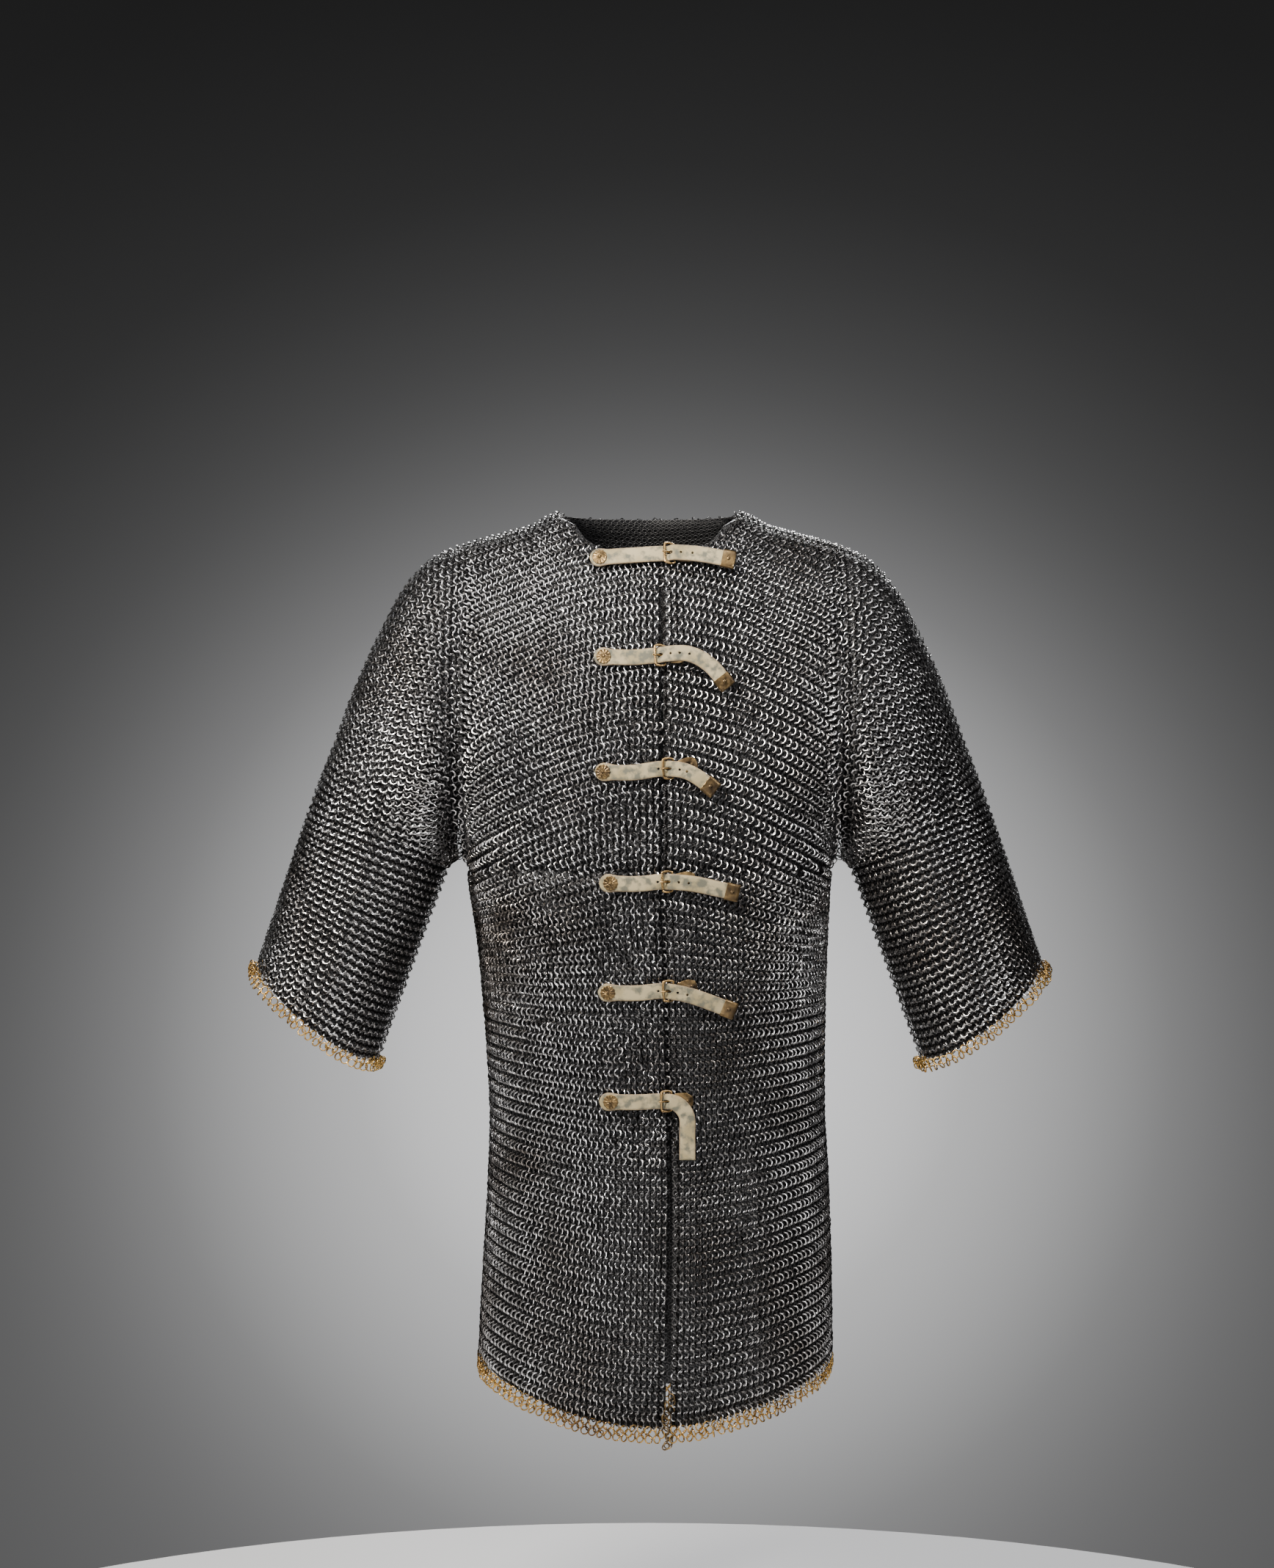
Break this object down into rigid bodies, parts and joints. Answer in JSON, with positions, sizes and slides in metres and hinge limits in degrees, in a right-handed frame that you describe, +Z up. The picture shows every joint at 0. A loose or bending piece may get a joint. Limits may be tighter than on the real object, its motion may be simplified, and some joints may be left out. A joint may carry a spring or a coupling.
{
  "type": "chainmail hauberk",
  "caption": "Short-sleeved mail shirt that opens down the front, closed by buckled leather straps, with brass ring borders at hem and cuffs.",
  "frame": {"origin": "middle of the torso between the shoulders, at the height where the shoulders carry the mail", "axes": "+Z up, the front faces -Y, the wearer's left is +X"},
  "size_m": [0.7338, 0.2399, 0.843],
  "materials": {
    "steel_mail": "worn polished iron rings with dark oxide in the gaps",
    "brass_rings": "worn drawn brass wire",
    "brass_fittings": "aged cast brass, polished on the high spots",
    "aged_brass": "dark tarnished sheet brass",
    "strap_leather": "buff alum-tawed leather, stained and creased"
  },
  "bodies": {
    "root": {"front_right": "steel_mail", "front_left": "steel_mail", "back": "steel_mail", "sleeve_right": "steel_mail", "sleeve_left": "steel_mail", "hem_border_front_right": "brass_rings", "hem_border_front_left": "brass_rings", "hem_border_back": "brass_rings", "cuff_border_right": "brass_rings", "cuff_border_left": "brass_rings", "strap_1": "strap_leather", "strap_2": "strap_leather", "strap_3": "strap_leather", "strap_4": "strap_leather", "strap_5": "strap_leather", "strap_6": "strap_leather", "rosette_1": "brass_fittings", "rosette_2": "brass_fittings", "rosette_3": "brass_fittings", "rosette_4": "brass_fittings", "rosette_5": "brass_fittings", "rosette_6": "brass_fittings", "buckle_1": "brass_fittings", "buckle_2": "brass_fittings", "buckle_3": "brass_fittings", "buckle_4": "brass_fittings", "buckle_5": "brass_fittings", "buckle_6": "brass_fittings", "tongue_1": "brass_fittings", "tongue_2": "brass_fittings", "tongue_3": "brass_fittings", "tongue_4": "brass_fittings", "tongue_5": "brass_fittings", "tongue_6": "brass_fittings", "plate_1": "aged_brass", "plate_2": "aged_brass", "plate_3": "aged_brass", "plate_4": "aged_brass", "plate_5": "aged_brass", "plate_6": "aged_brass", "chape_1": "brass_fittings", "chape_2": "brass_fittings", "chape_3": "brass_fittings", "chape_4": "brass_fittings", "chape_5": "brass_fittings"}
  },
  "joints": []
}
